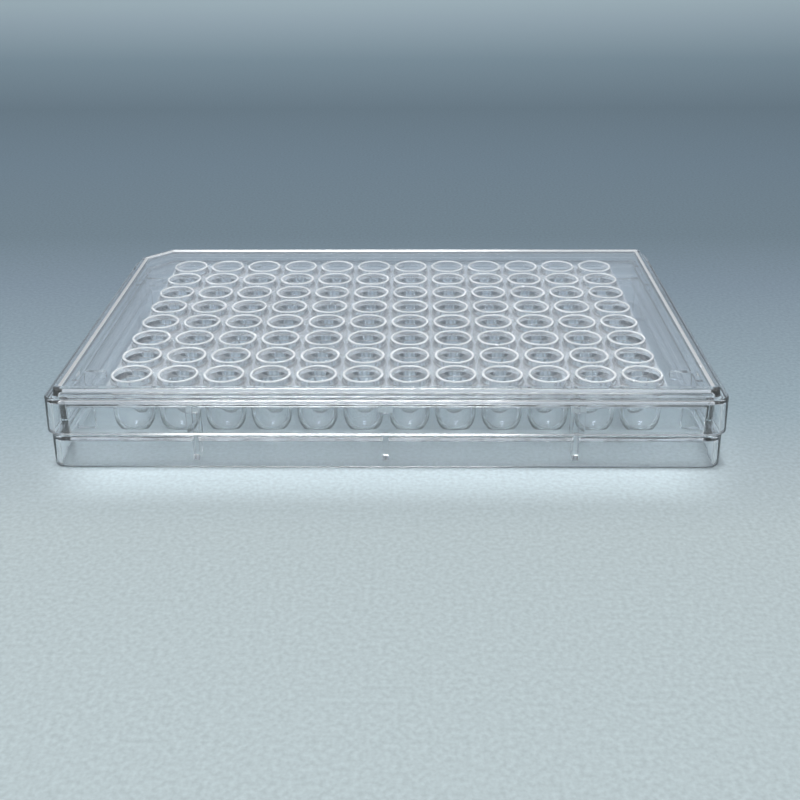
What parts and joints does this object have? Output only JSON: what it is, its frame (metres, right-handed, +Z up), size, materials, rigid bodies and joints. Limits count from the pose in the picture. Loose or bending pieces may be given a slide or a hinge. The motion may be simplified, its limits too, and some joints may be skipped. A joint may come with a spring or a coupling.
{
  "type": "well plate",
  "caption": "Shallow clear plastic plate with a grid of round-bottomed wells, a stepped skirt with one cut corner, and a loose flat lid lying over it.",
  "frame": {"origin": "middle of the footprint, on the surface that the plate stands on", "axes": "+X along a row of wells, from column 1 to column 12; +Y along a column, from row H to row A; +Z up"},
  "size_m": [0.1286, 0.0864, 0.016],
  "materials": {
    "plate_plastic": "clear moulded polystyrene, polished",
    "lid_plastic": "clear moulded polystyrene, polished"
  },
  "bodies": {
    "root": {"plate": "plate_plastic", "lid": "lid_plastic"}
  },
  "joints": []
}
